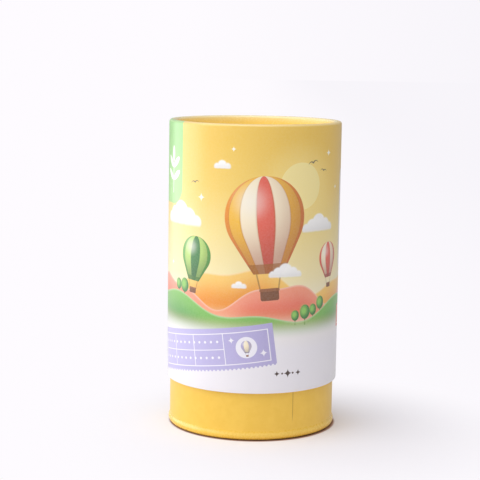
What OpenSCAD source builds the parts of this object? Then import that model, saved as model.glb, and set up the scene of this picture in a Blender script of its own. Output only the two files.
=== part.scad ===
// Telescoping paper tube box. A long sleeve lid slides down over an inner tube and stops
// with its sunk top disc on the tube's rim. Both ends are closed by a stamped board disc whose
// flange is hooked into the rolled edge of its tube. Millimetres, +Z up, origin at the centre
// of the ring that the box stands on, front towards -Y.

/* [Body tube] */
// Outer diameter of the body over its wrap
body_d = 73.2; // [60:0.2:90]
// Height of the body from the table to its rim
body_h = 128.3; // [90:0.1:180]
// Thickness of the body's tube board
body_board_t = 1.0; // [0.8:0.05:1.2]
// Depth of the turned-in wrap inside the body's rim
body_turn_in = 10; // [5:0.5:20]

/* [Sleeve lid] */
// Height of the body that stays in view below the closed lid
band_h = 20.9; // [12:0.1:40]
// Radial play between the body's wrap and the lid's lining
lid_play = 0.25; // [0.2:0.01:0.4]
// Thickness of the lid's tube board
lid_board_t = 0.9; // [0.7:0.05:1]
// Depth of the turned-in wrap inside the lid's lower edge
lid_turn_in = 9; // [5:0.5:20]

/* [End discs] */
// Depth of the recess in the top of the lid
top_recess = 6.0; // [4.5:0.1:10]
// Height of the recess under the base
base_recess = 5.0; // [4.6:0.1:8]
// Thickness of the stamped disc board
disc_board_t = 0.9; // [0.6:0.05:1.1]
// Inner radius of the bend between a disc and its flange
disc_bend_r = 0.2; // [0.1:0.05:0.5]

/* [Rolled edges] */
// Outer corner radius of the lid's rolled rim
rim_r = 1.2; // [1.1:0.05:1.4]
// How far the rolled bead of the body stands proud of its wall
bead_out = 0.6; // [0.3:0.05:0.9]
// Height at which the bead is widest, which is also its lower outer radius
bead_widest_z = 1.8; // [1.6:0.1:2]
// Height at which the bead runs out into the wall
bead_top_z = 4.4; // [4.2:0.1:5]
// Inner corner radius under the bead
bead_inner_r = 1.2; // [1.15:0.05:1.4]
// Glue line beside a disc's flange inside a rolled edge
seam_slack = 0.1; // [0.05:0.01:0.2]

/* [Papers] */
// Thickness of the outer wraps
wrap_t = 0.13; // [0.1:0.01:0.16]
// Thickness of the tube linings
lining_t = 0.12; // [0.08:0.01:0.15]
// Thickness of the papers on the discs
facing_t = 0.12; // [0.08:0.01:0.15]
// Width of the glued lap where a wrap's ends meet
lap_w = 10; // [6:0.5:16]
// Distance from a folded or rolled edge at which a lap is pressed flat
lap_fade = 0.4; // [0.2:0.1:2]
// Azimuth of the body's lap edge, from the front towards +X
body_lap_angle = 29.5; // [0:0.5:359]
// Azimuth of the lid's lap edge, from the front towards +X
lid_lap_angle = 135; // [0:0.5:359]

/* [Fits] */
// Rounding of a cut board edge under its wrap
board_edge_r = 0.25; // [0.1:0.05:0.35]
// Gap where two papers meet edge to edge
butt_gap = 0.3; // [0.1:0.05:0.5]
// Play between a round paper and the lining round it
paper_play = 0.15; // [0.1:0.05:0.3]
// Gap between a rolled edge's cut end and the paper that it presses on
tuck_gap = 0.15; // [0.1:0.05:0.3]
// Gap between a flange's cut end and the fold over it
flange_gap = 0.25; // [0.1:0.05:0.4]

/* [Hidden] */
$fn = 96;

// Radii of the body's layers, from the outside in
body_r = body_d / 2;
body_board_r = body_r - wrap_t;
body_bore_r = body_board_r - body_board_t;
body_lining_r = body_bore_r - lining_t;
// Innermost surface of the body's rolled edge, past the wall, the flange and the turned leg
bead_w = 2 * (wrap_t + body_board_t) + disc_board_t + seam_slack;
bead_inside_r = body_r - bead_w;
bead_split_r = body_bore_r - disc_board_t / 2;

// Radii of the lid's layers, from the inside out
lid_lining_r = body_r + lid_play;
lid_bore_r = lid_lining_r + lining_t;
lid_board_r = lid_bore_r + lid_board_t;
lid_r = lid_board_r + wrap_t;
rim_w = 2 * (wrap_t + lid_board_t) + disc_board_t + seam_slack;
rim_inside_r = lid_r - rim_w;

// Heights, counted up from the table with the lid on
base_disc_under_z = base_recess + facing_t;
base_disc_top_z = base_disc_under_z + disc_board_t;
body_fold_z = body_h - body_turn_in;
lid_fold_z = band_h + lid_turn_in;
bead_leg_z = base_recess - tuck_gap;
lid_under_z = body_h;
top_disc_under_z = lid_under_z + facing_t;
top_disc_top_z = top_disc_under_z + disc_board_t;
top_paper_z = top_disc_top_z + facing_t;
closed_h = top_paper_z + top_recess;
rim_leg_z = top_paper_z + tuck_gap;
rim_corner_z = closed_h - rim_r;

disc_corner_r = disc_bend_r + disc_board_t;
turned_r = board_edge_r + wrap_t;
fold_least_r = 0.05;
cut = 1;
paper_yellow = [0.93, 0.72, 0.28];
print_cream = [0.96, 0.86, 0.55];
lining_white = [0.95, 0.94, 0.90];
grey_board = [0.63, 0.56, 0.45];

// Radius left of a fold's outer radius after going inwards by d
function fold_r(outer_r, d) = max(outer_r - d, fold_least_r);

// Upright strip from z0 to z1 whose top corners are rounded to r
module strip(x0, x1, z0, z1, r) {
    translate([x0, z0])
        square([x1 - x0, z1 - r - z0]);
    translate([x0 + r, z0])
        square([x1 - x0 - 2 * r, z1 - z0]);
    for (x = [x0 + r, x1 - r])
        translate([x, z1 - r])
            circle(r);
}

// The same strip with its bottom corners rounded
module strip_down(x0, x1, z0, z1, r) {
    translate([0, z0 + z1])
        mirror([0, 1])
            strip(x0, x1, z0, z1, r);
}

// Filled section of the lid's rolled rim down to low_z, inset by d from its outer surface
module rim_section(d, low_z) {
    strip(rim_inside_r + d, lid_r - d, low_z, closed_h - d, fold_r(rim_r, d));
}

// One layer of the lid's wall and rolled rim, between the insets d0 and d1
module rim_layer(d0, d1, wall_z) {
    difference() {
        rim_section(d0, rim_leg_z);
        rim_section(d1, rim_leg_z - cut);
    }
    translate([lid_r - d1, wall_z])
        square([d1 - d0, rim_leg_z - wall_z]);
}

// Filled section of the body's rolled bead up to high_z, inset by d from its outer surface. Two
// equal arcs take the outside from the wall to the widest point, and a corner arc takes it under.
module bead_section(d, high_z) {
    rise = bead_top_z - bead_widest_z;
    turn = 2 * atan(bead_out / rise);
    swell_r = rise / (2 * sin(turn));
    swell_x = body_r + bead_out - swell_r;
    meet_x = swell_x + (swell_r - d) * cos(turn);
    meet_z = bead_widest_z + (swell_r - d) * sin(turn);
    left = bead_inside_r + d;
    under_r = fold_r(bead_widest_z, d);
    inner_r = fold_r(bead_inner_r, d);
    foot_x = body_r + bead_out - d - under_r;
    // Straight wall
    translate([left, bead_top_z])
        square([body_r - d - left, high_z - bead_top_z]);
    // Hollow arc below the wall
    difference() {
        translate([left, meet_z])
            square([meet_x - left, bead_top_z - meet_z]);
        translate([body_r + swell_r, bead_top_z])
            circle(swell_r + d);
    }
    // Swelling arc down to the widest point
    difference() {
        translate([left, bead_widest_z])
            square([body_r + bead_out - left, meet_z - bead_widest_z]);
        difference() {
            translate([swell_x, bead_widest_z - cut])
                square([2 * swell_r, rise + cut]);
            translate([swell_x, bead_widest_z])
                circle(swell_r - d);
        }
    }
    // Foot, with a corner arc on each side of the ring that it stands on
    translate([left, d + inner_r])
        square([inner_r, bead_widest_z - d - inner_r]);
    translate([left + inner_r, d])
        square([foot_x - left - inner_r, bead_widest_z - d]);
    translate([left + inner_r, d + inner_r])
        circle(inner_r);
    intersection() {
        translate([foot_x, d + under_r])
            circle(under_r);
        translate([foot_x, d])
            square([under_r + cut, under_r]);
    }
}

// One layer of the body's wall and rolled bead, between the insets d0 and d1
module bead_layer(d0, d1, wall_top_z) {
    high_z = max(bead_top_z, bead_leg_z) + cut;
    difference() {
        bead_section(d0, high_z);
        bead_section(d1, high_z + cut);
        translate([0, bead_leg_z])
            square([bead_split_r, high_z - bead_leg_z + cut]);
    }
    translate([body_r - d1, high_z])
        square([d1 - d0, wall_top_z - high_z]);
}

// Section of a stamped disc, face down at z = 0, with its flange turned up to flange_h
module disc_section(outer_r, flange_h) {
    difference() {
        disc_outline(outer_r, 0, flange_h, disc_corner_r);
        disc_outline(outer_r - disc_board_t, disc_board_t, flange_h + cut, disc_bend_r);
    }
}

// Filled outline under a stamped disc's surface, with its lower outer corner rounded to r
module disc_outline(x1, z0, z1, r) {
    translate([0, z0])
        square([x1 - r, z1 - z0]);
    translate([x1 - 2 * r, z0 + r])
        square([2 * r, z1 - z0 - r]);
    translate([x1 - r, z0 + r])
        circle(r);
}

// Glued lap of a wrap: the last lap_w of the paper climbs by its own thickness over the start
// of the sheet and ends in a step. Its outside is a cylinder set off towards the step, which
// dips into the wrap at the far end.
module lap(r, z0, z1, azimuth) {
    span = lap_w / r * 180 / PI;
    offset_r = wrap_t / (1 - cos(span));
    reach = 2 * r;
    tail = 1.3 * span;
    rotate([0, 0, azimuth - 90])
        translate([0, 0, z0])
            linear_extrude(z1 - z0)
                difference() {
                    intersection() {
                        translate([offset_r, 0])
                            circle(r + wrap_t - offset_r);
                        polygon([[0, 0], [reach, 0], [reach * cos(tail), -reach * sin(tail)]]);
                    }
                    circle(r - wrap_t / 2);
                }
}

// Round paper laid flat on a disc
module round_paper(r, z) {
    translate([0, 0, z])
        cylinder(h = facing_t, r = r);
}

// Convolute board tube of the body with its foot rolled in
module body_tube() {
    color(grey_board)
        rotate_extrude() {
            bead_layer(wrap_t, wrap_t + body_board_t, body_fold_z);
            strip(body_bore_r, body_board_r, body_fold_z, body_h - wrap_t, board_edge_r);
        }
}

// Plain wrap, rolled under the foot, turned in over the rim and lapped at the front right
module body_wrap() {
    color(paper_yellow) {
        rotate_extrude() {
            bead_layer(0, wrap_t, body_fold_z);
            difference() {
                strip(body_bore_r - wrap_t, body_r, body_fold_z, body_h, turned_r);
                strip(body_bore_r, body_board_r, 0, body_h - wrap_t, board_edge_r);
            }
        }
        lap(body_r, bead_top_z + lap_fade, body_h - turned_r - lap_fade, body_lap_angle);
    }
}

// Lining of the body, from its floor to the wrap's turned-in edge
module body_lining() {
    top_z = body_fold_z - butt_gap;
    color(lining_white)
        translate([0, 0, base_disc_top_z])
            difference() {
                cylinder(h = top_z - base_disc_top_z, r = body_bore_r);
                translate([0, 0, -cut])
                    cylinder(h = top_z - base_disc_top_z + 2 * cut, r = body_lining_r);
            }
}

// Stamped base disc, flange down inside the rolled foot
module base_disc() {
    flange_z = wrap_t + body_board_t + flange_gap;
    color(grey_board)
        translate([0, 0, base_disc_top_z])
            mirror([0, 0, 1])
                rotate_extrude()
                    disc_section(body_bore_r, base_disc_top_z - flange_z);
}

// Paper on the underside of the base, its edge under the rolled foot
module base_paper() {
    color(paper_yellow)
        round_paper(body_bore_r - disc_corner_r, base_recess);
}

// Lining paper on the floor of the box
module floor_paper() {
    color(lining_white)
        round_paper(body_lining_r - paper_play, base_disc_top_z);
}

// Convolute board tube of the sleeve with its top rolled in
module lid_tube() {
    color(grey_board)
        rotate_extrude() {
            rim_layer(wrap_t, wrap_t + lid_board_t, lid_fold_z);
            strip_down(lid_bore_r, lid_board_r, band_h + wrap_t, lid_fold_z, board_edge_r);
        }
}

// Printed wrap of the sleeve, rolled over the rim, turned in below and lapped at the back
module lid_wrap() {
    color(print_cream) {
        rotate_extrude() {
            rim_layer(0, wrap_t, lid_fold_z);
            difference() {
                strip_down(lid_bore_r - wrap_t, lid_r, band_h, lid_fold_z, turned_r);
                strip_down(lid_bore_r, lid_board_r, band_h + wrap_t, closed_h, board_edge_r);
            }
        }
        lap(lid_r, band_h + turned_r + lap_fade, rim_corner_z - lap_fade, lid_lap_angle);
    }
}

// Lining of the sleeve, from the wrap's turned-in edge up to the top disc
module lid_lining() {
    low_z = lid_fold_z + butt_gap;
    color(lining_white)
        translate([0, 0, low_z])
            difference() {
                cylinder(h = top_disc_under_z - low_z, r = lid_bore_r);
                translate([0, 0, -cut])
                    cylinder(h = top_disc_under_z - low_z + 2 * cut, r = lid_lining_r);
            }
}

// Stamped top disc, sunk in the sleeve, flange up inside the rolled rim
module lid_top_disc() {
    flange_top_z = closed_h - wrap_t - lid_board_t - flange_gap;
    color(grey_board)
        translate([0, 0, top_disc_under_z])
            rotate_extrude()
                disc_section(lid_bore_r, flange_top_z - top_disc_under_z);
}

// Paper on the sunk top, its edge under the rolled rim
module lid_top_paper() {
    color(paper_yellow)
        round_paper(lid_bore_r - disc_corner_r, top_disc_top_z);
}

// Paper under the top disc, which rests on the body's rim
module lid_under_paper() {
    color(lining_white)
        round_paper(lid_lining_r - paper_play, lid_under_z);
}

body_tube();
body_wrap();
body_lining();
base_disc();
base_paper();
floor_paper();
lid_tube();
lid_wrap();
lid_lining();
lid_top_disc();
lid_top_paper();
lid_under_paper();
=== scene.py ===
"""Looks of a telescoping paper tube box: printed sleeve lid over a plain yellow inner tube."""
import math

import bpy
from mathutils import Matrix, Vector, noise


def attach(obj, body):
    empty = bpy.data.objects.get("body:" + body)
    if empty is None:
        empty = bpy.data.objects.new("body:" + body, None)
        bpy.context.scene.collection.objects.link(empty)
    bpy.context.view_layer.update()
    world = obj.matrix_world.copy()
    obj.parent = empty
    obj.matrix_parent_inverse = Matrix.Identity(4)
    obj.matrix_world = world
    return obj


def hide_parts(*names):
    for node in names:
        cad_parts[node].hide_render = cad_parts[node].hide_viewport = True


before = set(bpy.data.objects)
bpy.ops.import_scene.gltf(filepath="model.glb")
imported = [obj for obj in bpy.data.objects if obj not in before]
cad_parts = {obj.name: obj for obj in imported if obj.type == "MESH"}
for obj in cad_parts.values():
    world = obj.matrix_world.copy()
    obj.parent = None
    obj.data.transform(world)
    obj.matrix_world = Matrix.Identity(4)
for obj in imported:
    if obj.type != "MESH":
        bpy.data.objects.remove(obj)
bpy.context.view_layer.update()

MM = 0.001

# ---------------------------------------------------------------- sizes, in millimetres
BODY_R = 36.6
LID_R = 38.0
BODY_H = 128.3
BAND_H = 20.9
CLOSED_H = 135.44
WRAP_T = 0.13
TURNED_R = 0.38
RIM_R = 1.2
RIM_IN_R = 34.94
RIM_LEG_Z = 129.59
BEAD_OUT = 0.6
BEAD_Z = 1.8
BEAD_TOP_Z = 4.4
BEAD_IN_R = 33.34
BEAD_LEG_Z = 4.85
BEAD_CORNER_R = 1.2
LAP_W = 10.0
BODY_LAP_AZ = 29.5
LID_LAP_AZ = 135.0
LINING_SEAM_AZ = -160.0


# ---------------------------------------------------------------- camera
CAM_D = 0.6256
CAM_H = 0.1689
PITCH = 0.1385
YAW = -0.0097
ROLL = 0.0158
FOCAL_PX = 1415.9
PHOTO_PX = 480
SENSOR = 36.0


def make_camera():
    forward = Vector((math.sin(YAW) * math.cos(PITCH), math.cos(YAW) * math.cos(PITCH), -math.sin(PITCH)))
    right0 = forward.cross(Vector((0, 0, 1))).normalized()
    up0 = right0.cross(forward)
    right = math.cos(ROLL) * right0 + math.sin(ROLL) * up0
    up = -math.sin(ROLL) * right0 + math.cos(ROLL) * up0
    data = bpy.data.cameras.new("camera")
    data.sensor_width = SENSOR
    data.sensor_fit = "HORIZONTAL"
    data.lens = FOCAL_PX * SENSOR / PHOTO_PX
    data.clip_start = 0.01
    data.clip_end = 100.0
    data.dof.use_dof = False
    camera = bpy.data.objects.new("camera", data)
    bpy.context.scene.collection.objects.link(camera)
    m = Matrix((right, up, -forward)).transposed().to_4x4()
    m.translation = Vector((0, -CAM_D, CAM_H))
    camera.matrix_world = m
    bpy.context.scene.camera = camera


# ---------------------------------------------------------------- node helper
class Ink:
    """Builds a material's node tree. A value is a number, a tuple or a socket."""

    def __init__(self, name):
        self.mat = bpy.data.materials.new(name)
        self.mat.use_nodes = True
        self.tree = self.mat.node_tree
        self.tree.nodes.clear()

    def node(self, kind, **props):
        n = self.tree.nodes.new(kind)
        for k, v in props.items():
            setattr(n, k, v)
        return n

    def put(self, socket, value):
        if isinstance(value, bpy.types.NodeSocket):
            self.tree.links.new(value, socket)
        elif isinstance(value, (tuple, list)) and socket.type == "RGBA" and len(value) == 3:
            socket.default_value = (*value, 1.0)
        else:
            socket.default_value = value

    def math(self, op, a, b=None, c=None):
        n = self.node("ShaderNodeMath", operation=op)
        for i, v in enumerate((a, b, c)):
            if v is not None:
                self.put(n.inputs[i], v)
        return n.outputs[0]

    def vec(self, op, *args):
        n = self.node("ShaderNodeVectorMath", operation=op)
        for i, v in enumerate(args):
            self.put(n.inputs[i], v)
        return n.outputs[1 if op in ("LENGTH", "DISTANCE", "DOT_PRODUCT") else 0]

    def place(self, p, at, angle=0.0, scale=(1.0, 1.0)):
        """Coordinates of p in a frame at a place, turned by an angle and scaled. A point of the sheet is (u, v, 1)."""
        sx, sy = scale
        if not angle:
            return self.vec("MULTIPLY_ADD", p, (1 / sx, 1 / sy, 1.0), (-at[0] / sx, -at[1] / sy, 0.0))
        c, s = math.cos(math.radians(angle)), math.sin(math.radians(angle))
        x = self.vec("DOT_PRODUCT", p, (c / sx, s / sx, -(c * at[0] + s * at[1]) / sx))
        y = self.vec("DOT_PRODUCT", p, (-s / sy, c / sy, (s * at[0] - c * at[1]) / sy))
        return self.join(x, y, 1.0)

    def far(self, p, x=0.0, y=0.0):
        """Distance of p from a point of the sheet."""
        return self.vec("DISTANCE", p, (x, y, 1.0))

    def layer(self, name, sheet, colour, draw):
        """Draws a part of the print over colour, in a node group of its own."""
        group = bpy.data.node_groups.new(name, "ShaderNodeTree")
        group.interface.new_socket("Sheet", in_out="INPUT", socket_type="NodeSocketVector")
        group.interface.new_socket("Colour", in_out="INPUT", socket_type="NodeSocketColor")
        group.interface.new_socket("Colour", in_out="OUTPUT", socket_type="NodeSocketColor")
        outer, self.tree = self.tree, group
        start = self.node("NodeGroupInput")
        drawn = draw(self, start.outputs[0], start.outputs[1])
        self.put(self.node("NodeGroupOutput").inputs[0], drawn)
        self.tree = outer
        n = self.node("ShaderNodeGroup", node_tree=group)
        self.put(n.inputs[0], sheet)
        self.put(n.inputs[1], colour)
        return n.outputs[0]

    def ramp(self, x, x0, x1, y0=0.0, y1=1.0):
        n = self.node("ShaderNodeMapRange", interpolation_type="SMOOTHSTEP", clamp=False)
        for key, v in (("Value", x), ("From Min", x0), ("From Max", x1), ("To Min", y0), ("To Max", y1)):
            self.put(n.inputs[key], v)
        return n.outputs[0]

    def mix(self, fac, a, b, blend="MIX"):
        n = self.node("ShaderNodeMix", data_type="RGBA", blend_type=blend)
        self.put(n.inputs[0], fac)
        self.put(n.inputs[6], a)
        self.put(n.inputs[7], b)
        return n.outputs[2]

    def colours(self, x, stops, mode="LINEAR"):
        n = self.node("ShaderNodeValToRGB")
        n.color_ramp.interpolation = mode
        e = n.color_ramp.elements
        while len(e) < len(stops):
            e.new(0.5)
        for el, (pos, col) in zip(e, stops):
            el.position = pos
            el.color = (*col, 1.0)
        self.put(n.inputs[0], x)
        return n.outputs[0]

    def split(self, p):
        n = self.node("ShaderNodeSeparateXYZ")
        self.put(n.inputs[0], p)
        return n.outputs

    def join(self, x, y, z=0.0):
        n = self.node("ShaderNodeCombineXYZ")
        for i, v in enumerate((x, y, z)):
            self.put(n.inputs[i], v)
        return n.outputs[0]

    def noise(self, p, scale, detail=3.0, rough=0.5, distort=0.0):
        n = self.node("ShaderNodeTexNoise")
        self.put(n.inputs["Vector"], p)
        n.inputs["Scale"].default_value = scale
        n.inputs["Detail"].default_value = detail
        n.inputs["Roughness"].default_value = rough
        n.inputs["Distortion"].default_value = distort
        return n.outputs[0]

    def bump(self, height, strength, distance, normal=None):
        n = self.node("ShaderNodeBump")
        n.inputs["Strength"].default_value = strength
        n.inputs["Distance"].default_value = distance
        self.put(n.inputs["Height"], height)
        if normal is not None:
            self.put(n.inputs["Normal"], normal)
        return n.outputs[0]

    def finish(self, colour, roughness, normal=None, specular=0.5, coat=0.0, coat_rough=0.2):
        n = self.node("ShaderNodeBsdfPrincipled")
        self.put(n.inputs["Base Color"], colour)
        self.put(n.inputs["Roughness"], roughness)
        n.inputs["Specular IOR Level"].default_value = specular
        n.inputs["Coat Weight"].default_value = coat
        n.inputs["Coat Roughness"].default_value = coat_rough
        if normal is not None:
            self.put(n.inputs["Normal"], normal)
        out = self.node("ShaderNodeOutputMaterial")
        self.tree.links.new(n.outputs[0], out.inputs[0])
        return self.mat

    # Shapes on the unrolled sheet: each gives a mask from 0 to 1
    def disc(self, p, at, rx, ry=None, angle=0.0, soft=0.12):
        """Ellipse; soft is the width of its edge, in mm."""
        ry = rx if ry is None else ry
        q = self.place(p, at, angle, (rx, ry))
        s = soft / min(rx, ry)
        return self.ramp(self.far(q), 1.0 + s / 2, 1.0 - s / 2)

    def box(self, p, at, hx, hy, r=0.0, angle=0.0, soft=0.12):
        """Rounded rectangle with half sizes hx and hy."""
        q = self.vec("ABSOLUTE", self.place(p, at, angle))
        q = self.vec("SUBTRACT", q, (hx - r, hy - r, 1.0))
        q = self.vec("MAXIMUM", q, (0.0, 0.0, 0.0))
        return self.ramp(self.vec("LENGTH", q), r + soft / 2, r - soft / 2)

    def either(self, *masks):
        m = masks[0]
        for k in masks[1:]:
            m = self.math("MAXIMUM", m, k)
        return m

    def both(self, a, b):
        return self.math("MULTIPLY", a, b)


def srgb(*c):
    """A colour given as 8-bit values becomes a linear one."""
    return tuple((v / 255 / 12.92) if v / 255 <= 0.04045 else (((v / 255) + 0.055) / 1.055) ** 2.4 for v in c)


# ---------------------------------------------------------------- meshes
def arc(cx, cz, r, a0, a1, n):
    """Points of an arc from angle a0 to a1 in degrees, 0 outwards and 90 up."""
    out = []
    for i in range(n + 1):
        a = math.radians(a0 + (a1 - a0) * i / n)
        out.append((cx + r * math.cos(a), cz + r * math.sin(a)))
    return out


def rise(r, z0, z1, step):
    n = max(1, round(abs(z1 - z0) / step))
    return [(r, z0 + (z1 - z0) * i / n) for i in range(n + 1)]


def tidy_path(points):
    out = [points[0]]
    for p in points[1:]:
        if math.dist(p, out[-1]) > 1e-4:
            out.append(p)
    return out


def lid_path(d):
    """Section of the sleeve's wrap, inset by d: turned-in leaf, lower fold, wall and rolled rim."""
    leaf = LID_R - WRAP_T - 0.9 - WRAP_T
    top = CLOSED_H - RIM_R
    low = BAND_H + TURNED_R
    r = TURNED_R - d
    p = rise(leaf + d, BAND_H + 9.0, low, 4.0)
    p += arc(leaf + TURNED_R, low, r, 180, 270, 6)
    p += arc(LID_R - TURNED_R, low, r, 270, 360, 6)
    p += rise(LID_R - d, low, top, 2.4)
    p += arc(LID_R - RIM_R, top, RIM_R - d, 0, 90, 12)
    p += arc(RIM_IN_R + RIM_R, top, RIM_R - d, 90, 180, 12)
    p += rise(RIM_IN_R + d, top, RIM_LEG_Z, 1.2)
    return tidy_path(p)


def body_path(d):
    """Section of the inner tube's wrap, inset by d: leaf, top fold, wall, rolled bead and foot."""
    leaf = BODY_R - WRAP_T - 1.0 - WRAP_T
    top = BODY_H - TURNED_R
    r = TURNED_R - d
    turn = 2 * math.atan(BEAD_OUT / (BEAD_TOP_Z - BEAD_Z))
    swell = (BEAD_TOP_Z - BEAD_Z) / (2 * math.sin(turn))
    turn = math.degrees(turn)
    foot_x = BODY_R + BEAD_OUT - BEAD_Z
    p = rise(leaf + d, BODY_H - 10.0, top, 4.0)
    p += arc(leaf + TURNED_R, top, r, 180, 90, 6)
    p += arc(BODY_R - TURNED_R, top, r, 90, 0, 6)
    p += rise(BODY_R - d, top, 24.0, 8.0)
    p += rise(BODY_R - d, 24.0, BEAD_TOP_Z, 1.5)
    p += arc(BODY_R + swell, BEAD_TOP_Z, swell + d, 180, 180 + turn, 6)
    p += arc(BODY_R + BEAD_OUT - swell, BEAD_Z, swell - d, turn, 0, 6)
    p += arc(foot_x, BEAD_Z, BEAD_Z - d, 0, -90, 12)
    p += arc(BEAD_IN_R + BEAD_CORNER_R, BEAD_CORNER_R, BEAD_CORNER_R - d, 270, 180, 8)
    p += rise(BEAD_IN_R + d, BEAD_CORNER_R, BEAD_LEG_Z, 1.2)
    return tidy_path(p)


def lap_lift(az, seam):
    """How far the glued lap stands proud at an azimuth: it climbs to its step at the seam."""
    span = math.degrees(LAP_W / LID_R)
    back = (seam - az) % 360.0
    return WRAP_T * (1.0 - back / span) if back < span else 0.0


def azimuths(seam, count):
    """Azimuths round the tube, with two columns close together where the lap's step is."""
    step = 360.0 / count
    out = [seam + 0.03 + (360.0 - 0.06) * i / (count - 1) for i in range(count)]
    return [a - 360.0 for a in out], step


def paper_shell(name, path, seam, lift_z, count, sink):
    """Closed sheet of paper round the axis. sink(az, r, z) gives how far its face dips, in mm."""
    outer = path(0.0)
    inner = path(WRAP_T)[::-1]
    n_out = len(outer)
    loop = outer + inner
    azs, step = azimuths(seam, count)
    verts = []
    for az in azs:
        sx, cy = math.sin(math.radians(az)), -math.cos(math.radians(az))
        for i, (r, z) in enumerate(loop):
            if i < n_out:
                prev = outer[max(i - 1, 0)]
                nxt = outer[min(i + 1, n_out - 1)]
                tx, tz = nxt[0] - prev[0], nxt[1] - prev[1]
                tl = math.hypot(tx, tz) or 1.0
                # Face normal in section, pointing out of the paper
                nx, nz = (tz / tl, -tx / tl) if path is lid_path else (-tz / tl, tx / tl)
                d = -sink(az, r, z)
                if lift_z[0] <= z <= lift_z[1] and nx > 0.99:
                    edge = min((z - lift_z[0]) / 0.3, (lift_z[1] - z) / 0.3, 1.0)
                    d += lap_lift(az, seam) * edge
                r, z = r + nx * d, z + nz * d
            verts.append((r * sx * MM, r * cy * MM, z * MM))
    n = len(loop)
    m = len(azs)
    faces = []
    for j in range(m):
        k = (j + 1) % m
        for i in range(n):
            i2 = (i + 1) % n
            faces.append((j * n + i, j * n + i2, k * n + i2, k * n + i))
    mesh = bpy.data.meshes.new(name)
    mesh.from_pydata(verts, [], faces)
    mesh.update()
    for poly in mesh.polygons:
        poly.use_smooth = True
    mesh.set_sharp_from_angle(angle=math.radians(40))
    obj = bpy.data.objects.new(name, mesh)
    bpy.context.scene.collection.objects.link(obj)
    return obj


def paint(obj, mat):
    obj.data.materials.clear()
    obj.data.materials.append(mat)


def repaint(node, mat):
    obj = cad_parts[node]
    for s in obj.material_slots:
        s.material = mat


# ---------------------------------------------------------------- surfaces
def sheet_coords(ink, radius, seam):
    """Place on the unrolled sheet in mm: u round the tube from the front, v up; and the distance from the axis."""
    p = ink.node("ShaderNodeTexCoord").outputs["Object"]
    x, y, z = ink.split(p)
    az = ink.math("ARCTAN2", x, ink.math("MULTIPLY", y, -1.0))
    past = ink.math("GREATER_THAN", az, math.radians(seam))
    az = ink.math("MULTIPLY_ADD", past, -2 * math.pi, az)
    u = ink.math("MULTIPLY", az, radius)
    v = ink.math("DIVIDE", z, MM)
    out = ink.math("DIVIDE", ink.vec("LENGTH", ink.join(x, y)), MM)
    return p, u, v, out


def balloon(ink, under, q, at, r, gores, tilt=0.0, basket=None):
    """Striped hot-air balloon of radius r over the colour under; gores are its stripes' colours."""
    c = ink.place(q, at, tilt, (r, r))
    x, y, _ = ink.split(c)
    ax = ink.math("ABSOLUTE", x)
    soft = 0.1 / r
    round_w = ink.math("SQRT", ink.math("MAXIMUM", ink.math("SUBTRACT", 1.0, ink.math("MULTIPLY", y, y)), 0.0))
    cone_w = ink.math("MULTIPLY_ADD", y, 0.577, 1.1545)
    low = ink.math("LESS_THAN", y, -0.5)
    w = ink.math("MULTIPLY_ADD", low, ink.math("SUBTRACT", cone_w, round_w), round_w)
    body = ink.ramp(ink.math("SUBTRACT", w, ax), -soft, soft)
    body = ink.both(body, ink.ramp(y, -1.36, -1.36 + soft))
    body = ink.both(body, ink.ramp(y, 1.0, 1.0 - soft))
    lon = ink.math("ARCSINE", ink.math("DIVIDE", x, ink.math("MAXIMUM", w, 0.02)))
    t = ink.math("MULTIPLY_ADD", lon, 1 / math.pi, 0.5)
    n = len(gores)
    colour = ink.colours(t, [(i / n, g) for i, g in enumerate(gores)], "CONSTANT")
    seam = ink.math("PINGPONG", ink.math("MULTIPLY", t, n), 0.5)
    colour = ink.mix(ink.ramp(seam, 0.10, 0.0, 0.0, 0.35), colour, tuple(0.55 * k for k in gores[0]))
    lit = ink.far(c, -0.35, 0.4)
    colour = ink.mix(ink.ramp(lit, 0.35, 1.7, 0.0, 0.62), colour, tuple(0.45 * k for k in gores[n // 2]))
    colour = ink.mix(ink.ramp(lit, 0.6, 0.0, 0.0, 0.5), colour, (1.0, 0.97, 0.9))
    skirt = ink.both(ink.ramp(y, -1.12, -1.12 - soft), ink.ramp(y, -1.36, -1.36 + soft))
    colour = ink.mix(ink.math("MULTIPLY", skirt, 0.75), colour, tuple(0.4 * k for k in gores[0]))
    wood = basket or srgb(126, 78, 46)
    down = (math.sin(math.radians(tilt)) * r, -math.cos(math.radians(tilt)) * r)

    def below(k, side=0.0):
        return (at[0] + down[0] * k - down[1] * side, at[1] + down[1] * k + down[0] * side)

    ropes = [ink.box(q, below(1.56, s), 0.018 * r, 0.22 * r, 0.0, tilt - 10 * s / abs(s), 0.15) for s in (-0.26, 0.26)]
    out = ink.mix(ink.either(*ropes), under, tuple(0.6 * k for k in wood))
    out = ink.mix(ink.box(q, below(1.87), 0.23 * r, 0.15 * r, 0.05 * r, tilt), out, wood)
    out = ink.mix(ink.box(q, below(1.76), 0.25 * r, 0.035 * r, 0.03 * r, tilt), out, tuple(1.5 * k for k in wood))
    return ink.mix(body, out, colour)


def cloud(ink, under, q, at, size, puffs, tint=(1.0, 1.0, 1.0), strength=0.95):
    """Soft cloud made of round puffs that stand on a flat base."""
    c = ink.place(q, at, 0.0, (size, size))
    soft = 0.9 / size
    mask = None
    for x, y, r in puffs:
        m = ink.ramp(ink.far(c, x, y), r + soft * 0.5, r - soft * 0.5)
        mask = m if mask is None else ink.math("MAXIMUM", mask, m)
    y = ink.split(c)[1]
    mask = ink.both(mask, ink.ramp(y, -0.32, -0.1))
    shade = ink.mix(ink.ramp(y, -0.3, 0.7), tuple(0.86 * k for k in tint), tint)
    return ink.mix(ink.math("MULTIPLY", mask, strength), under, shade)


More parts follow.
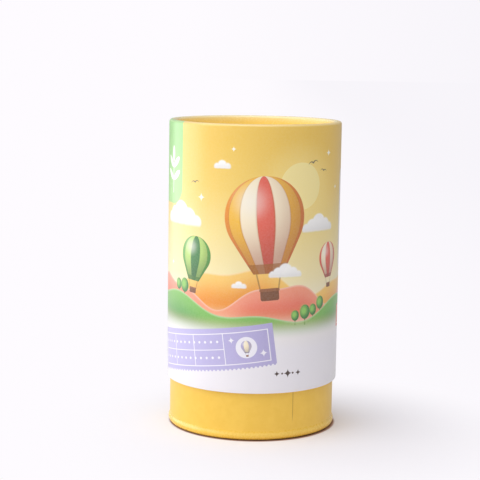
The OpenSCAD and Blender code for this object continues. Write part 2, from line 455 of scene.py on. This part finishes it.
PUFFS_WIDE = [(-1.25, 0.0, 0.42), (-0.7, 0.22, 0.55), (0.0, 0.42, 0.72), (0.75, 0.2, 0.58), (1.35, 0.0, 0.4)]
PUFFS_SMALL = [(-0.6, 0.0, 0.38), (0.0, 0.2, 0.52), (0.62, 0.02, 0.4)]


def crest(u, base, waves):
    return base + sum(a * math.sin(2 * math.pi * u / length + phase) for a, length, phase in waves)


def hill(ink, under, q, base, waves, near, far, mist):
    """Rolling hill: base height and waves as (height, length, phase); near and far are its colours."""
    u, v, _ = ink.split(q)
    top = base
    for a, length, phase in waves:
        ang = ink.math("MULTIPLY_ADD", u, 2 * math.pi / length, phase)
        top = ink.math("MULTIPLY_ADD", ink.math("SINE", ang), a, top)
    depth = ink.math("SUBTRACT", top, v)
    mask = ink.ramp(depth, -0.07, 0.07)
    mask = ink.both(mask, ink.ramp(v, mist[0], mist[1]))
    colour = ink.mix(ink.ramp(depth, 0.0, 13.0), far, near)
    colour = ink.mix(ink.ramp(depth, 1.1, 0.0, 0.0, 0.35), colour, (1.0, 0.98, 0.8))
    return ink.mix(mask, under, colour)


def sparkle(ink, q, at, size, angle=0.0):
    """Four-pointed star mask."""
    c = ink.vec("ABSOLUTE", ink.place(q, at, angle, (size, size)))
    x, y, _ = ink.split(c)
    s = ink.math("ADD", ink.math("POWER", x, 0.55), ink.math("POWER", y, 0.55))
    return ink.ramp(s, 1.0 + 0.12 / size, 1.0 - 0.12 / size)


def bird(ink, q, at, size, angle):
    """Mask of a bird far off: two curved wings, thin at their tips."""
    x, y, one = ink.split(ink.place(q, at, angle, (size, size)))
    x = ink.math("ABSOLUTE", x)
    ring = ink.math("ABSOLUTE", ink.math("SUBTRACT", ink.far(ink.join(x, y, one), 0.5, -0.25), 0.56))
    thin = ink.math("MULTIPLY_ADD", x, 0.1, ring)
    return ink.both(ink.ramp(thin, 0.15, 0.1), ink.ramp(y, -0.08, 0.0))


def tree(ink, under, q, at, size):
    """Round tree: trunk, crown and the crown's lit side."""
    x, y = at
    out = ink.mix(ink.box(q, (x, y + 0.5 * size), 0.09 * size, 0.6 * size, 0.03), under, srgb(112, 76, 48))
    out = ink.mix(ink.disc(q, (x, y + 1.6 * size), 0.78 * size, 0.95 * size), out, MOSS)
    lit = ink.disc(q, (x - 0.2 * size, y + 1.78 * size), 0.52 * size, 0.62 * size, soft=0.7 * size)
    return ink.mix(lit, out, srgb(146, 204, 98))


STARS = [((-24.0, 104.0), 2.0), ((-9.0, 125.0), 1.3), ((37.0, 123.0), 1.7), ((44.0, 108.0), 1.3),
         ((-44.0, 74.0), 1.5), ((-98.0, 120.0), 1.8), ((-132.0, 88.0), 1.6), ((-84.0, 82.0), 1.2)]
BIRDS = [((27.0, 119.0), 2.6, 12.0), ((33.5, 115.5), 2.0, -8.0), ((-27.5, 110.0), 2.2, 8.0), ((-103.0, 116.0), 2.4, 6.0)]
NEAR_HILL = (57.0, [(4.5, 119.4, 4.2), (1.8, 39.8, 1.0)])
TREES = [(-38.0, 2.6), (-33.5, 3.3), (19.0, 2.4), (24.0, 3.3), (28.5, 2.6), (33.0, 3.0), (70.0, 3.0), (-75.0, 3.4),
         (-81.0, 2.6), (-112.0, 3.2), (-117.0, 2.5)]
GOLD = srgb(250, 196, 66)
AMBER = srgb(240, 150, 44)
CORAL = srgb(236, 104, 84)
SALMON = srgb(248, 158, 128)
CREAM = srgb(255, 240, 208)
LEAF = srgb(104, 178, 76)
MOSS = srgb(58, 128, 62)
LIME = srgb(190, 222, 120)
RUST = srgb(190, 92, 40)
LAVENDER = srgb(180, 172, 218)
INK_BROWN = srgb(70, 48, 38)
# Plain yellow inside the rolled rim, painted lighter than the outer print as painted light in the recess
INSIDE_LIT_YELLOW = srgb(255, 224, 118)
CHARCOAL = srgb(58, 56, 66)
TAB_GREEN = srgb(150, 208, 122)

RIBBON_AT = (61.5, 50.0)
BAND_TILT = 8.0
BAND_EDGE = (9.8, 42.7)


def draw_sky(ink, q, colour):
    sun = ink.far(q, 21.0, 109.5)
    colour = ink.mix(ink.ramp(sun, 22.0, 9.0, 0.0, 0.45), colour, srgb(255, 232, 150))
    colour = ink.mix(ink.ramp(sun, 10.1, 9.9, 0.0, 0.85), colour, srgb(255, 238, 166))
    colour = cloud(ink, colour, q, (-37.0, 93.0), 7.5, PUFFS_WIDE)
    colour = cloud(ink, colour, q, (-14.0, 117.5), 3.8, PUFFS_SMALL)
    colour = cloud(ink, colour, q, (31.0, 91.0), 5.6, PUFFS_WIDE)
    colour = cloud(ink, colour, q, (-92.0, 99.0), 8.0, PUFFS_WIDE)
    colour = cloud(ink, colour, q, (-128.0, 112.0), 5.0, PUFFS_SMALL)
    stars = [sparkle(ink, q, at, size) for at, size in STARS]
    colour = ink.mix(ink.either(*stars), colour, srgb(255, 252, 236))
    flock = [bird(ink, q, *b) for b in BIRDS]
    return ink.mix(ink.both(ink.either(*flock), 0.85), colour, CHARCOAL)


def draw_hills(ink, q, colour):
    mist = (47.0, 60.0)
    colour = hill(ink, colour, q, 69.0, [(5.5, 79.6, 2.1), (2.2, 34.1, 0.4)], AMBER, srgb(252, 206, 110), mist)
    colour = hill(ink, colour, q, 63.0, [(5.0, 59.7, 0.2), (1.6, 26.5, 2.0)], CORAL, SALMON, mist)
    for x, size in TREES:
        colour = tree(ink, colour, q, (x, crest(x, *NEAR_HILL) - 0.5 * size), size)
    return hill(ink, colour, q, *NEAR_HILL, srgb(84, 156, 76), srgb(126, 190, 88), (44.0, 54.0))


def draw_balloons(ink, q, colour):
    colour = balloon(ink, colour, q, (5.0, 96.5), 17.5, [AMBER, GOLD, CREAM, CORAL, CREAM, GOLD, AMBER], 4.0)
    colour = balloon(ink, colour, q, (-27.0, 79.0), 8.2, [LEAF, LIME, MOSS, LIME, LEAF], -5.0)
    colour = balloon(ink, colour, q, (38.5, 78.0), 6.6, [CORAL, CREAM, CORAL, CREAM, CORAL], 3.0)
    colour = balloon(ink, colour, q, (-110.0, 92.0), 11.0, [GOLD, CREAM, LEAF, CREAM, GOLD], 4.0)
    colour = cloud(ink, colour, q, (14.0, 72.0), 4.4, PUFFS_WIDE)
    return cloud(ink, colour, q, (-6.0, 67.0), 3.2, PUFFS_SMALL)


def draw_ticket(ink, q, colour):
    """Ticket band, cut with notches along its lower edge."""
    t = ink.place(q, BAND_EDGE, BAND_TILT)
    tx, ty, _ = ink.split(t)
    length, half_h, margin = 64.0, 9.2, 2.4
    up = ink.math("ABSOLUTE", ty)
    ticket = ink.both(ink.ramp(tx, 0.08, -0.08), ink.ramp(tx, -length - 0.08, -length + 0.08))
    ticket = ink.both(ticket, ink.ramp(up, half_h + 0.07, half_h - 0.07))
    pitch = 1.85
    bite = ink.vec("LENGTH", ink.join(ink.math("PINGPONG", tx, pitch / 2), ink.math("ADD", ty, half_h)))
    ticket = ink.both(ticket, ink.ramp(bite, 0.55, 0.68))
    lilac = ink.colours(ink.math("MULTIPLY_ADD", tx, 1 / length, 1.0), [(0.0, srgb(198, 191, 234)), (0.6, srgb(190, 183, 228)), (1.0, LAVENDER)])
    colour = ink.mix(ticket, colour, lilac)
    across = ink.math("ABSOLUTE", ink.math("ADD", tx, length / 2))
    edge = ink.math("MAXIMUM", ink.math("SUBTRACT", up, half_h - margin),
                    ink.math("SUBTRACT", across, length / 2 - margin))
    lines = ink.ramp(ink.math("ABSOLUTE", edge), 0.3, 0.12)
    inside = ink.math("LESS_THAN", edge, 0.0)
    bars = [ink.ramp(ink.math("ABSOLUTE", ink.math("ADD", tx, k)), 0.26, 0.1) for k in (22.0, 37.0, 50.0)]
    rows = ink.both(ink.ramp(up, 0.24, 0.1), ink.math("LESS_THAN", tx, -22.0))
    lines = ink.math("MAXIMUM", lines, ink.both(inside, ink.either(rows, *bars)))
    dots = ink.join(ink.math("PINGPONG", ink.math("ADD", tx, 0.75), 1.5), ink.math("SUBTRACT", up, 3.4))
    dots = ink.both(ink.ramp(ink.vec("LENGTH", dots), 0.62, 0.48), ink.math("LESS_THAN", tx, -24.0))
    badge = ink.both(ink.math("GREATER_THAN", tx, -21.0), ink.either(
        ink.disc(t, (-12.2, 0.0), 4.6), sparkle(ink, t, (-18.4, 3.6), 1.6), sparkle(ink, t, (-5.2, -3.2), 1.9)))
    marks = ink.both(inside, ink.math("MAXIMUM", dots, badge))
    white = ink.both(ink.math("MAXIMUM", lines, marks), ticket)
    colour = ink.mix(ink.math("MULTIPLY", white, 0.88), colour, srgb(251, 249, 255))
    flown = balloon(ink, colour, t, (-12.2, 0.7), 2.3, [LAVENDER, CREAM, LAVENDER])
    return ink.mix(ink.disc(t, (-12.2, 0.0), 4.0), colour, flown)


def draw_trim(ink, q, colour):
    """Ornament under the artwork, and the pale panels at the side and the back."""
    for k, (x, size) in enumerate(((11.0, 1.5), (16.0, 2.1), (21.0, 1.5))):
        mark = sparkle(ink, q, (x, 29.5), size)
        if k:
            mark = ink.math("MAXIMUM", mark, ink.disc(q, (x - 2.6, 29.5), 0.42))
        colour = ink.mix(mark, colour, INK_BROWN)
    ribbon = ink.box(q, RIBBON_AT, 10.5, 5.2, 1.4)
    rule = ink.math("SUBTRACT", ink.box(q, RIBBON_AT, 9.3, 4.0, 1.0), ink.box(q, RIBBON_AT, 8.95, 3.65, 0.8))
    colour = ink.mix(ribbon, colour, srgb(238, 118, 92))
    colour = ink.mix(ink.either(rule, sparkle(ink, q, RIBBON_AT, 2.4)), colour, CREAM)
    for at, hx, hy in (((68.5, 93.0), 17.0, 22.0), ((-92.0, 38.0), 26.0, 10.0)):
        panel = ink.box(q, at, hx, hy, 4.0)
        rule = ink.math("SUBTRACT", ink.box(q, at, hx - 1.6, hy - 1.6, 2.9), ink.box(q, at, hx - 1.95, hy - 1.95, 2.6))
        colour = ink.mix(ink.math("MULTIPLY", panel, 0.9), colour, srgb(253, 248, 238))
        colour = ink.mix(rule, colour, LAVENDER)
    return colour


def draw_tab(ink, q, colour):
    """Green tab that hangs from the rim, with a white sprig."""
    tab = ink.box(q, (-60.0, 124.5), 24.0, 25.0, 8.0)
    green = ink.mix(ink.ramp(ink.split(q)[1], 99.0, 134.0), srgb(172, 222, 142), TAB_GREEN)
    leaves = [ink.disc(q, (-44.5 + x, 115.0 + y), 3.6, 1.35, a) for x, y, a in (
        (0.0, 6.0, 90.0), (-3.0, 2.6, 140.0), (3.0, 2.6, 40.0), (-3.2, -3.0, 145.0), (3.2, -3.0, 35.0))]
    stem = ink.box(q, (-44.5, 111.5), 0.32, 7.5, 0.3)
    green = ink.mix(ink.math("MULTIPLY", ink.either(stem, *leaves), 0.92), green, srgb(250, 255, 246))
    return ink.mix(tab, colour, green)


def make_print():
    ink = Ink("printed_paper")
    p, u, v, out = sheet_coords(ink, LID_R, LID_LAP_AZ)
    q = ink.join(u, v, 1.0)
    colour = ink.colours(ink.math("DIVIDE", v, 136.0), [
        (0.29, srgb(242, 239, 245)),
        (0.36, srgb(244, 240, 235)),
        (0.43, srgb(248, 240, 214)),
        (0.52, srgb(248, 233, 180)),
        (0.65, srgb(247, 225, 150)),
        (0.80, srgb(246, 210, 107)),
        (0.94, srgb(244, 203, 91)),
    ])
    for draw in (draw_sky, draw_hills, draw_balloons, draw_ticket, draw_trim, draw_tab):
        colour = ink.layer(draw.__name__, q, colour, draw)
    # Inside the rolled rim the paper is plain, in a yellow painted lighter than the outer print as painted light in the
    # recess
    colour = ink.mix(ink.ramp(out, 36.2, 36.6), INSIDE_LIT_YELLOW, colour)
    # Painted highlight: the print is painted paler where the rim is rolled over
    colour = ink.mix(ink.ramp(v, 134.3, 135.1, 0.0, 0.26), colour, srgb(255, 250, 226))
    # Painted highlight: paler still on the inside of the rolled rim, towards its top
    rim_inside_highlight = ink.both(ink.ramp(v, 131.6, 135.0, 0.0, 0.4), ink.ramp(out, 36.4, 35.6))
    colour = ink.mix(rim_inside_highlight, colour, srgb(255, 248, 214))
    fibre = ink.noise(p, 1400.0, 5.0, 0.65)
    colour = ink.mix(ink.ramp(fibre, 0.3, 0.7, 0.0, 0.05), colour, (1.0, 1.0, 1.0))
    normal = ink.bump(ink.noise(p, 60.0, 2.0, 0.5), 0.22, 0.0004)
    normal = ink.bump(fibre, 0.05, 0.0002, normal)
    rough = ink.ramp(fibre, 0.3, 0.7, 0.32, 0.42)
    # The roller that turned the rim has burnished it
    rough = ink.math("SUBTRACT", rough, ink.ramp(out, 36.6, 36.0, 0.0, 0.12))
    return ink.finish(colour, rough, normal, specular=0.5, coat=0.4, coat_rough=0.3)


def make_yellow(name, lapped=True):
    """Plain yellow paper; lapped gives it the body's seam with its painted shadow, a painted highlight on the bead's
    crown and painted shade under its foot.
    """
    ink = Ink(name)
    p, u, v, out = sheet_coords(ink, BODY_R, BODY_LAP_AZ)
    mottle = ink.noise(p, 240.0, 4.0, 0.6)
    colour = ink.mix(ink.ramp(mottle, 0.35, 0.65), srgb(247, 200, 74), srgb(250, 204, 80))
    if lapped:
        # Painted shadow along the lap's cut edge, a fine dark line that closes up towards the bead
        seam_u = math.radians(BODY_LAP_AZ) * BODY_R
        lap = ink.math("SUBTRACT", u, seam_u)
        turn = 2 * math.pi * BODY_R
        near = ink.math("MINIMUM", ink.math("ABSOLUTE", lap), ink.math("ABSOLUTE", ink.math("ADD", lap, turn)))
        seam_shadow = ink.both(ink.ramp(near, 0.3, 0.1), ink.ramp(v, 6.5, 11.0, 0.0, 0.55))
        colour = ink.mix(seam_shadow, colour, srgb(142, 88, 34))
        # Painted highlight: paler paper along the bead's crown; painted shade under its foot
        crown_highlight = ink.math("ABSOLUTE", ink.math("SUBTRACT", v, 2.8))
        crown_highlight = ink.ramp(crown_highlight, 0.9, 0.2, 0.0, 0.13)
        colour = ink.mix(ink.both(crown_highlight, ink.math("GREATER_THAN", out, 36.0)), colour, srgb(255, 240, 172))
        # Painted shade under the foot: dark brown, mottled by noise
        foot_shade = ink.ramp(ink.math("ADD", v, ink.math("MULTIPLY", mottle, 0.3)), 1.0, 0.5, 0.0, 0.94)
        painted_foot_shade = ink.both(foot_shade, ink.ramp(ink.noise(p, 900.0, 3.0, 0.6), 0.35, 0.6, 0.6, 0.85))
        colour = ink.mix(ink.both(painted_foot_shade, ink.math("GREATER_THAN", out, 34.5)), colour, srgb(104, 58, 20))
    fibre = ink.noise(p, 1400.0, 5.0, 0.65)
    slow = ink.noise(p, 60.0, 2.0, 0.5)
    normal = ink.bump(slow, 0.25, 0.0004)
    normal = ink.bump(fibre, 0.035, 0.0002, normal)
    rough = ink.ramp(fibre, 0.3, 0.7, 0.37, 0.42)
    if lapped:
        # The bead is burnished by the roller that turned it
        rough = ink.math("SUBTRACT", rough, ink.ramp(v, 5.0, 4.0, 0.0, 0.12))
    return ink.finish(colour, rough, normal, specular=0.5, coat=0.2, coat_rough=0.25)


# ---------------------------------------------------------------- stage
FLOOR_SEEN = (0.92, 0.9, 0.935)
FLOOR_BOUNCE = (0.92, 0.9, 0.9)
SHADOW_AT = (0.02, -0.02, 0.0)
SHADOW_FADE = (0.01, 0.11)
# Painted contact shadow on the floor round the foot: its radii in mm, its centre and its colour
CONTACT_R = (36.7, 37.9)
CONTACT_AT = (0.4 * MM, -0.5 * MM, 0.0)
CONTACT_SHADOW_COLOUR = (0.36, 0.16, 0.07)
PAPER_WHITE = (0.991, 0.965, 1.0)
SHADE_WHITE = (0.935, 0.913, 0.956)
WORLD_COLOUR = (0.98, 0.98, 1.02)
WORLD_LEFT = 0.48
WORLD_RIGHT = 0.4


def make_stage():
    mesh = bpy.data.meshes.new("floor")
    s = 6.0
    mesh.from_pydata([(-s, -s, 0), (s, -s, 0), (s, s, 0), (-s, s, 0)], [], [(0, 1, 2, 3)])
    floor = bpy.data.objects.new("floor", mesh)
    bpy.context.scene.collection.objects.link(floor)
    ink = Ink("floor_paper")
    path = ink.node("ShaderNodeLightPath").outputs["Is Camera Ray"]
    p = ink.node("ShaderNodeTexCoord").outputs["Object"]
    seen = ink.mix(path, FLOOR_BOUNCE, FLOOR_SEEN)
    # Painted shadow on the floor: a dark brown ring round the foot, set a little to the front and the right
    off = ink.vec("DISTANCE", p, CONTACT_AT)
    contact_shadow = ink.ramp(off, CONTACT_R[1] * MM, CONTACT_R[0] * MM, 0.0, 0.9)
    seen = ink.mix(contact_shadow, seen, CONTACT_SHADOW_COLOUR)
    diffuse = ink.node("ShaderNodeBsdfDiffuse")
    ink.put(diffuse.inputs["Color"], seen)
    glow = ink.node("ShaderNodeEmission")
    ink.put(glow.inputs["Color"], ink.mix(ink.ramp(ink.split(p)[0], -0.05, 0.3), PAPER_WHITE, SHADE_WHITE))
    # Away from the box and its shadow, which falls to the front and the right, the floor is as white as the wall
    far = ink.ramp(ink.vec("DISTANCE", p, SHADOW_AT), *SHADOW_FADE)
    far = ink.both(far, ink.math("SUBTRACT", 1.0, contact_shadow))
    mixer = ink.node("ShaderNodeMixShader")
    ink.put(mixer.inputs[0], ink.math("MULTIPLY", far, path))
    ink.put(mixer.inputs[1], diffuse.outputs[0])
    ink.put(mixer.inputs[2], glow.outputs[0])
    out = ink.node("ShaderNodeOutputMaterial")
    ink.put(out.inputs[0], mixer.outputs[0])
    paint(floor, ink.mat)


def make_lights():
    def area(name, at, aim, size, power, colour=(1, 1, 1)):
        data = bpy.data.lights.new(name, "AREA")
        data.shape = "RECTANGLE"
        data.size, data.size_y = size
        data.energy = power
        data.color = colour
        obj = bpy.data.objects.new(name, data)
        bpy.context.scene.collection.objects.link(obj)
        obj.location = at
        obj.rotation_euler = (Vector(aim) - Vector(at)).to_track_quat("-Z", "Y").to_euler()
        return obj

    area("key", (-0.6, -0.28, 0.46), (0, 0, 0.06), (0.55, 0.55), 1.7)
    area("top", (-0.05, -0.36, 0.76), (0, 0, 0.08), (0.7, 0.6), 2.9)
    area("edge", (-0.6, 0.15, 0.12), (0, 0, 0.09), (0.68, 0.26), 1.42)
    world = bpy.data.worlds.new("world")
    bpy.context.scene.world = world
    world.use_nodes = True
    t = world.node_tree
    t.nodes.clear()
    lp = t.nodes.new("ShaderNodeLightPath")
    coord = t.nodes.new("ShaderNodeTexCoord")
    split = t.nodes.new("ShaderNodeSeparateXYZ")
    t.links.new(coord.outputs["Generated"], split.inputs[0])
    side = t.nodes.new("ShaderNodeMapRange")
    t.links.new(split.outputs[0], side.inputs["Value"])
    side.inputs["From Min"].default_value = -0.05
    side.inputs["From Max"].default_value = 0.17
    wall = t.nodes.new("ShaderNodeMix")
    wall.data_type = "RGBA"
    t.links.new(side.outputs[0], wall.inputs[0])
    wall.inputs[6].default_value = (*PAPER_WHITE, 1.0)
    wall.inputs[7].default_value = (*SHADE_WHITE, 1.0)
    across = t.nodes.new("ShaderNodeMapRange")
    t.links.new(split.outputs[0], across.inputs["Value"])
    across.inputs["From Min"].default_value = -1.0
    across.inputs["From Max"].default_value = 1.0
    room = t.nodes.new("ShaderNodeMix")
    room.data_type = "RGBA"
    t.links.new(across.outputs[0], room.inputs[0])
    room.inputs[6].default_value = tuple(WORLD_LEFT * k for k in WORLD_COLOUR) + (1.0,)
    room.inputs[7].default_value = tuple(WORLD_RIGHT * k for k in WORLD_COLOUR) + (1.0,)
    tone = t.nodes.new("ShaderNodeMix")
    tone.data_type = "RGBA"
    t.links.new(lp.outputs["Is Camera Ray"], tone.inputs[0])
    t.links.new(room.outputs[2], tone.inputs[6])
    t.links.new(wall.outputs[2], tone.inputs[7])
    bg = t.nodes.new("ShaderNodeBackground")
    t.links.new(tone.outputs[2], bg.inputs["Color"])
    bg.inputs["Strength"].default_value = 1.0
    out = t.nodes.new("ShaderNodeOutputWorld")
    t.links.new(bg.outputs[0], out.inputs[0])
    bpy.context.scene.view_settings.view_transform = "Standard"


make_camera()
make_stage()
make_lights()

def speck(ink, p, scale, low, high):
    """Mask of small flecks."""
    return ink.ramp(ink.noise(p, scale, 2.0, 0.5), low, high)


def make_lining():
    """White coated paper with faint fibres and the butt line where its edges meet."""
    ink = Ink("lining_paper")
    p, u, v, out = sheet_coords(ink, BODY_R, BODY_LAP_AZ)
    fibre = ink.noise(p, 1100.0, 5.0, 0.7)
    cloudy = ink.noise(p, 90.0, 3.0, 0.55)
    colour = ink.mix(ink.ramp(cloudy, 0.35, 0.65), srgb(236, 232, 224), srgb(243, 240, 234))
    colour = ink.mix(ink.both(speck(ink, p, 700.0, 0.68, 0.76), 0.4), colour, srgb(196, 186, 170))
    butt = ink.math("ABSOLUTE", ink.math("SUBTRACT", u, math.radians(LINING_SEAM_AZ) * BODY_R))
    butt = ink.both(ink.ramp(butt, 0.3, 0.12, 0.0, 0.5), ink.math("GREATER_THAN", out, 33.0))
    colour = ink.mix(butt, colour, srgb(150, 142, 132))
    normal = ink.bump(cloudy, 0.25, 0.0004)
    normal = ink.bump(fibre, 0.12, 0.0002, normal)
    return ink.finish(colour, ink.ramp(fibre, 0.3, 0.7, 0.5, 0.62), normal, specular=0.4)


def make_board(name, tone, layered):
    """Grey board with fibres and flecks; layered adds the windings seen at a cut edge."""
    ink = Ink(name)
    p = ink.node("ShaderNodeTexCoord").outputs["Object"]
    stretched = ink.node("ShaderNodeMapping")
    ink.put(stretched.inputs["Vector"], p)
    stretched.inputs["Scale"].default_value = (1.0, 1.0, 0.25)
    fibre = ink.noise(stretched.outputs[0], 800.0, 6.0, 0.7)
    colour = ink.mix(ink.ramp(fibre, 0.3, 0.7), tuple(0.72 * k for k in tone), tone)
    colour = ink.mix(ink.both(speck(ink, p, 520.0, 0.62, 0.7), 0.7), colour, srgb(92, 78, 62))
    colour = ink.mix(ink.both(speck(ink, p, 430.0, 0.66, 0.72), 0.6), colour, srgb(214, 206, 190))
    if layered:
        x, y, z = ink.split(p)
        out = ink.math("DIVIDE", ink.vec("LENGTH", ink.join(x, y)), MM)
        ply = ink.ramp(ink.math("PINGPONG", out, 0.15), 0.02, 0.1)
        colour = ink.mix(ink.math("MULTIPLY", ply, 0.3), colour, srgb(120, 104, 84))
    normal = ink.bump(fibre, 0.35, 0.0003)
    return ink.finish(colour, 0.85, normal, specular=0.2)


def dents(az, z, fine, tall):
    """Smooth noise from 0 to 1 round the tube; fine is its scale round it and tall its scale up it."""
    a = math.radians(az)
    return 0.5 + 0.5 * noise.noise(Vector((fine * math.cos(a), fine * math.sin(a), z * tall)))


def lid_sink(az, r, z):
    """Unevenness of the printed wrap: long waves on the wall and small ones on the rolled rim."""
    rim = max(0.0, min(1.0, (z - 132.5) / 1.5))
    hem = max(0.0, min(1.0, (BAND_H + 1.6 - z) / 1.2))
    return 0.045 * dents(az, z, 5.0, 0.05) + 0.05 * rim * dents(az, z, 16.0, 0.5) + 0.04 * hem * dents(az, 0, 22.0, 0.1)


def body_sink(az, r, z):
    """Unevenness of the plain wrap, and the puckers where it is rolled into the bead."""
    bead = max(0.0, min(1.0, (5.2 - z) / 1.6))
    pucker = dents(az, z, 34.0, 0.35) ** 2
    # None where the box stands on the floor
    stand = max(0.0, min(1.0, (z - 0.3) / 0.8))
    return stand * (0.04 * dents(az, z, 5.0, 0.06) + 0.02 * bead * pucker)


printed = make_print()
yellow = make_yellow("yellow_paper")
facing = make_yellow("yellow_facing", lapped=False)
lining = make_lining()
tube_board = make_board("tube_board", srgb(176, 160, 134), True)
disc_board = make_board("disc_board", srgb(170, 152, 124), False)

SEGMENTS = 721

lid_skin = paper_shell("lid_wrap_skin", lid_path, LID_LAP_AZ, (BAND_H + 1.0, CLOSED_H - 1.7), SEGMENTS, lid_sink)
paint(lid_skin, printed)
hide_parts("lid_wrap")
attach(lid_skin, "lid")

body_skin = paper_shell("body_wrap_skin", body_path, BODY_LAP_AZ, (BEAD_TOP_Z + 0.5, BODY_H - 1.0), SEGMENTS, body_sink)
paint(body_skin, yellow)
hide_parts("body_wrap")
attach(body_skin, "body")

for node, mat in (("lid_top_paper", facing), ("base_paper", facing), ("body_lining", lining), ("lid_lining", lining),
                  ("floor_paper", lining), ("lid_under_paper", lining), ("body_tube", tube_board),
                  ("lid_tube", tube_board), ("base_disc", disc_board), ("lid_top_disc", disc_board)):
    repaint(node, mat)
